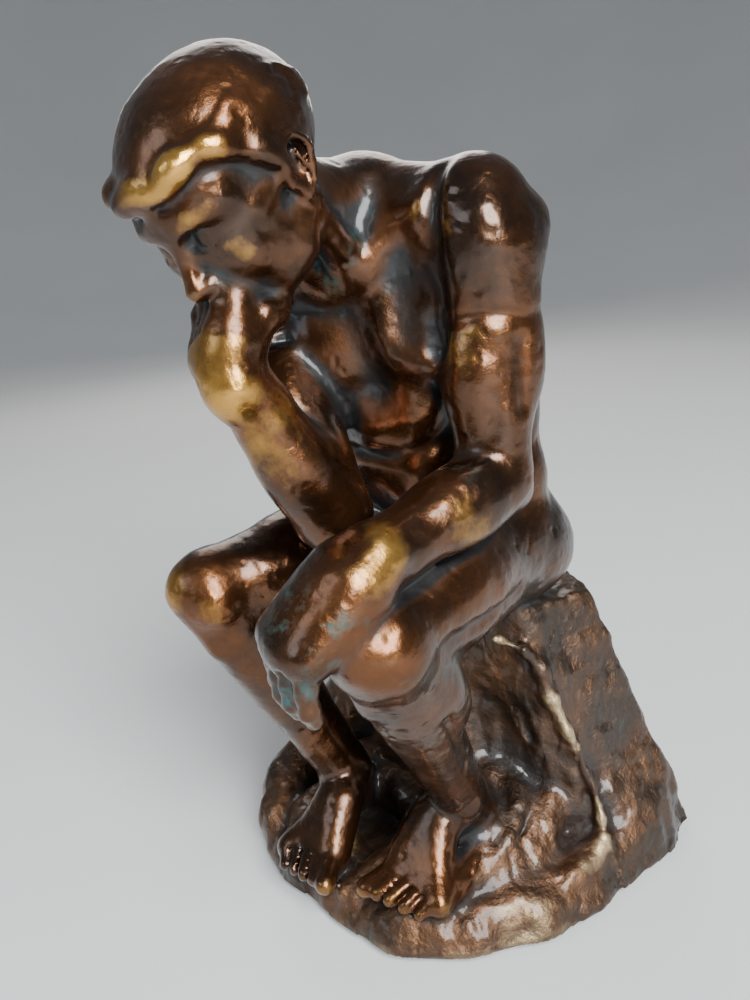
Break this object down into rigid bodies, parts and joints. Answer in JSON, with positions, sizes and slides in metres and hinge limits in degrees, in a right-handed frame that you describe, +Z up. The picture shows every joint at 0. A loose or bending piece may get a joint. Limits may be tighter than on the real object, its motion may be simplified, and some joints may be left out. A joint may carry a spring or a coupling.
{
  "type": "seated figure statuette",
  "caption": "Bronze statuette of a seated nude man resting his chin on one hand, on a rough rock base with a felt pad underneath.",
  "frame": {"origin": "centre of the overall bounding box at its lowest level, on the surface that the statuette stands on", "axes": "+Z up, the figure faces -Y, and the figure's own left is +X"},
  "size_m": [0.0696, 0.0809, 0.1265],
  "materials": {
    "figure_bronze": "chestnut brown patina, waxed, rubbed through to golden bronze on the high points and nearly black in the hollows",
    "rock_bronze": "the same patina, darker and rougher, with worn edges",
    "bronze_rod": "plain drawn bronze rod, hidden inside the joints",
    "seat_fixing": "turned brass stud, washer and nut, hidden under the rock",
    "felt": "dark green wool felt, glued on"
  },
  "bodies": {
    "root": {"rock_base": "rock_bronze", "torso": "figure_bronze", "head": "figure_bronze", "right_arm": "figure_bronze", "right_hand": "figure_bronze", "left_arm": "figure_bronze", "left_hand": "figure_bronze", "right_leg": "figure_bronze", "left_leg": "figure_bronze", "neck_dowel": "bronze_rod", "right_shoulder_dowel": "bronze_rod", "left_shoulder_dowel": "bronze_rod", "right_wrist_dowel": "bronze_rod", "left_wrist_dowel": "bronze_rod", "right_hip_dowel": "bronze_rod", "left_hip_dowel": "bronze_rod", "right_foot_dowel": "bronze_rod", "left_foot_dowel": "bronze_rod", "joint_pins": "bronze_rod", "chin_pin": "bronze_rod", "elbow_pin": "bronze_rod", "hand_pin": "bronze_rod", "seat_stud": "seat_fixing", "seat_washer": "seat_fixing", "seat_nut": "seat_fixing", "core_plugs": "figure_bronze", "felt_pad": "felt"}
  },
  "joints": []
}
